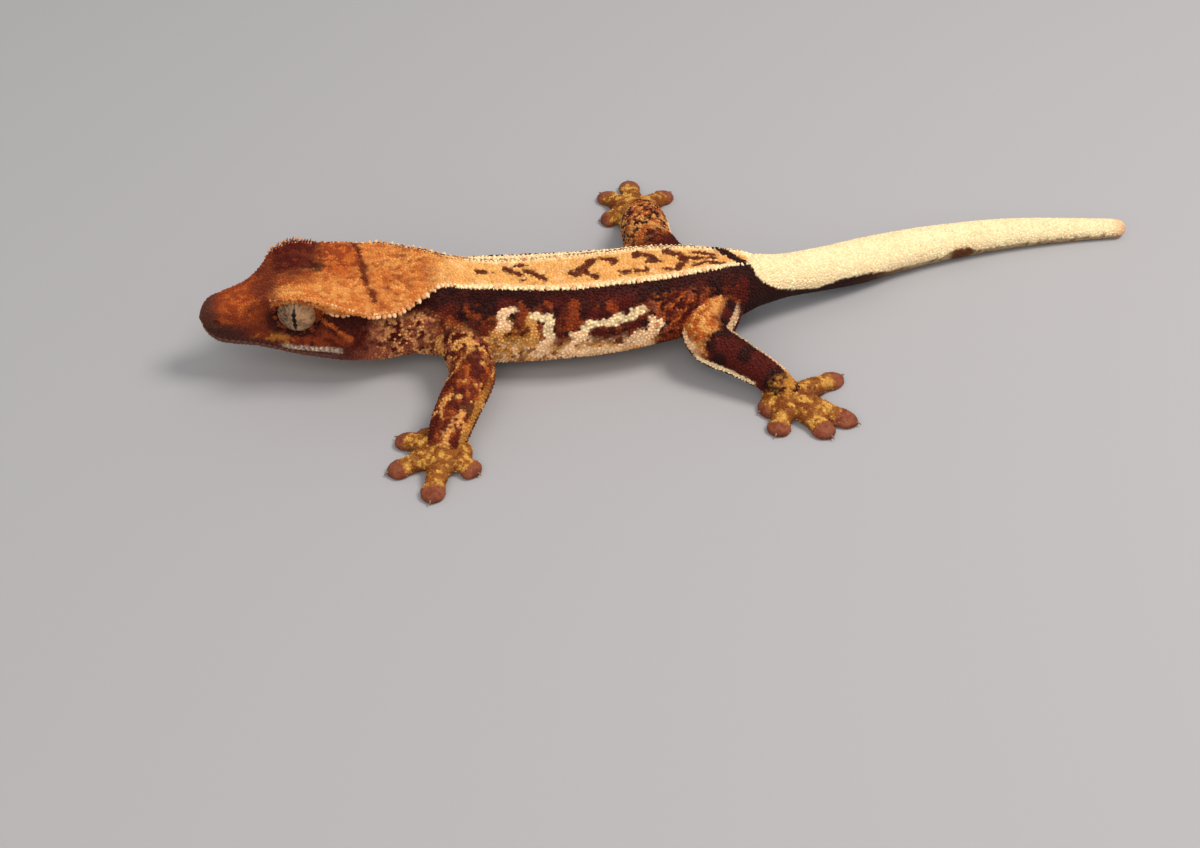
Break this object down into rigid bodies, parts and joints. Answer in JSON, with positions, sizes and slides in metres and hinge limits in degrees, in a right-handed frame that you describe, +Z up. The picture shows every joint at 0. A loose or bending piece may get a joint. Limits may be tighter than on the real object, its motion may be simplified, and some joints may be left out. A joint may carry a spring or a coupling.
{
  "type": "crested gecko",
  "caption": "Life-size still model of a young crested gecko, standing with legs spread, spined crests along head and back, and its tail laid out behind.",
  "frame": {"origin": "on the floor, at the middle of the bounding box", "axes": "+Z up; the head points along -X and the tail along +X; the gecko's left side faces -Y"},
  "size_m": [0.1078, 0.0614, 0.0123],
  "materials": {
    "skin": "matt granular skin, rust and dark maroon with cream",
    "tail_skin": "matt finely scaled skin, cream",
    "foot_skin": "matt granular skin, golden with brown pads",
    "eye": "wet and clear, grey-beige with a dark slit"
  },
  "bodies": {
    "root": {"head": "skin", "neck": "skin", "torso": "skin", "tail_base": "tail_skin", "tail_middle": "tail_skin", "tail_tip": "tail_skin", "eye_left": "eye", "eye_right": "eye", "front_left_upper": "skin", "front_left_lower": "skin", "front_left_foot": "foot_skin", "front_right_upper": "skin", "front_right_lower": "skin", "front_right_foot": "foot_skin", "hind_left_upper": "skin", "hind_left_lower": "skin", "hind_left_foot": "foot_skin", "hind_right_upper": "skin", "hind_right_lower": "skin", "hind_right_foot": "foot_skin"}
  },
  "joints": []
}
